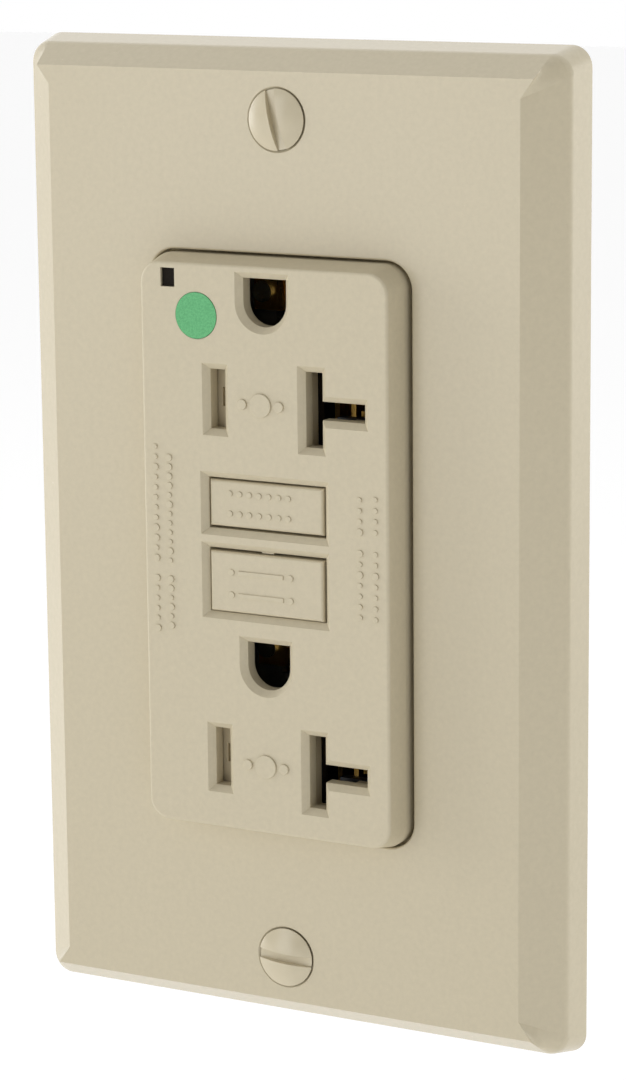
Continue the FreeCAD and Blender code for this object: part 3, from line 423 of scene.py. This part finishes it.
raised("shutter_emblem_upper", shift(emblem(), -0.3, 16.95), 0.22, "device", M["face"], FACE_Y, 0.07)
raised("shutter_emblem_lower", shift(flip(emblem(), 0, 0), -0.15, -24.65), 0.22, "device", M["face"], FACE_Y, 0.07)
raised("side_ticks_left_outer", ticks(-10.4, 11.9, -14.1, (6, 12), 3), 0.16, "device", M["face"], FACE_Y, 0.04)
raised("side_ticks_left_inner", ticks(-9.9, 10.7, -12.3, (6, 12), 8), 0.16, "device", M["face"], FACE_Y, 0.04)
raised("side_ticks_right_outer", ticks(8.1, -6.7, 14.05, (4, 7), 5), 0.16, "device", M["face"], FACE_Y, 0.04)
raised("side_ticks_right_inner", ticks(7.9, -6.6, 12.1, (4, 7), 12), 0.16, "device", M["face"], FACE_Y, 0.04)

tb_lo, tb_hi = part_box("test_button")
rb_lo, rb_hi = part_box("reset_button")
raised("test_sign_upper", shift(sign_test(), -0.9, 6.55), 0.14, "test_button", M["face"], tb_lo.y, 0.05)
raised("test_sign_lower", shift(flip(sign_test(), 0, 0), -0.9, 4.25), 0.14, "test_button", M["face"], tb_lo.y, 0.05)
raised("reset_sign_upper", shift(sign_reset(), -0.7, -2.5), 0.14, "reset_button", M["face"], rb_lo.y, 0.05)
raised("reset_sign_lower", shift(flip(sign_reset(), 0, 0), -0.7, -5.1), 0.14, "reset_button", M["face"], rb_lo.y, 0.05)


# ---------------------------------------------------------------- smooth shading of CAD nodes
for o in nodes.values():
    for p in o.data.polygons:
        p.use_smooth = True
    mod = o.modifiers.new("edges", "EDGE_SPLIT")
    mod.split_angle = math.radians(28)


# ---------------------------------------------------------------- stage, light, camera
def plane(name, size, loc, rot, mat):
    me = bpy.data.meshes.new(name)
    s = size / 2
    me.from_pydata([(-s, -s, 0), (s, -s, 0), (s, s, 0), (-s, s, 0)], [], [(0, 1, 2, 3)])
    o = bpy.data.objects.new(name, me)
    o.location = loc
    o.rotation_euler = rot
    me.materials.append(mat)
    scene.collection.objects.link(o)
    return o


fm, fnt, fb = new_mat("floor_white")
fb.inputs["Base Color"].default_value = (0.86, 0.86, 0.86, 1)
fb.inputs["Roughness"].default_value = 0.9
fb.inputs["Emission Color"].default_value = (1, 1, 1, 1)
FLOOR = 0.2
fb.inputs["Emission Strength"].default_value = FLOOR
plane("floor", 6.0, (0, 0, -0.16), (0, 0, 0), fm)

w = bpy.data.worlds.new("studio")
scene.world = w
w.use_nodes = True
wn = w.node_tree
bg = wn.nodes["Background"]
tc = wn.nodes.new("ShaderNodeTexCoord")
sep = wn.nodes.new("ShaderNodeSeparateXYZ")
wn.links.new(tc.outputs["Generated"], sep.inputs["Vector"])
mr = wn.nodes.new("ShaderNodeMapRange")
mr.inputs["From Min"].default_value = -0.4
mr.inputs["From Max"].default_value = 0.5
WORLD_FRONT, WORLD_BACK = 0.41, 1.33
mr.inputs["To Min"].default_value = WORLD_FRONT
mr.inputs["To Max"].default_value = WORLD_BACK
wn.links.new(sep.outputs["Y"], mr.inputs["Value"])
bg.inputs["Color"].default_value = (1, 1, 1, 1)
lp = wn.nodes.new("ShaderNodeLightPath")
mx = wn.nodes.new("ShaderNodeMix")
mx.data_type = "FLOAT"
wn.links.new(lp.outputs["Is Camera Ray"], mx.inputs["Factor"])
wn.links.new(mr.outputs["Result"], mx.inputs[2])
mx.inputs[3].default_value = 1.0
wn.links.new(mx.outputs[0], bg.inputs["Strength"])


def area(name, loc, target, size, power, col=(1, 1, 1)):
    d = bpy.data.lights.new(name, "AREA")
    d.shape = "RECTANGLE"
    d.size, d.size_y = size
    d.energy = power
    d.color = col
    o = bpy.data.objects.new(name, d)
    o.location = loc
    o.rotation_euler = (Vector(target) - Vector(loc)).to_track_quat("-Z", "Y").to_euler()
    scene.collection.objects.link(o)
    return o


KEY, BACK, TOP, LEFT = 2.4, 1.9, 0.15, 4.3
area("key", (-0.45, -0.95, 0.16), (0, 0, 0), (0.45, 0.8), KEY)
area("back_right", (0.75, 0.62, 0.05), (0, 0, 0), (0.6, 0.9), BACK)
area("top", (0.0, -0.25, 0.9), (0, 0, 0), (0.9, 0.5), TOP)
area("left", (-0.95, -0.25, 0.0), (0, 0, 0), (0.4, 0.9), LEFT)

scene.view_settings.view_transform = "Standard"
scene.view_settings.look = "None"
scene.view_settings.exposure = 0.0
scene.view_settings.gamma = 1.0

CAM_M = [[0.8782179263199121, 0.4781635883104787, -0.009636218366152971],
         [0.08858236742922372, -0.1824283760435687, -0.9792206348901865],
         [-0.46998557219449527, 0.8591155163469888, -0.20256873278188697]]
CAM_C = (191.22630869961847, -349.459276655345, 82.02062648179104)
CAM_F = 3535.861473621768
cd = bpy.data.cameras.new("camera")
cd.sensor_fit = "AUTO"
cd.sensor_width = 36.0
cd.lens = CAM_F * 36.0 / 1080.0
cd.clip_start = 0.01
cd.clip_end = 20.0
cam = bpy.data.objects.new("camera", cd)
r0, r1, r2 = (Vector(r) for r in CAM_M)
rot = Matrix((r0, -r1, -r2)).transposed()
cam.matrix_world = Matrix.Translation(Vector(CAM_C) * MM) @ rot.to_4x4()
scene.collection.objects.link(cam)
scene.camera = cam
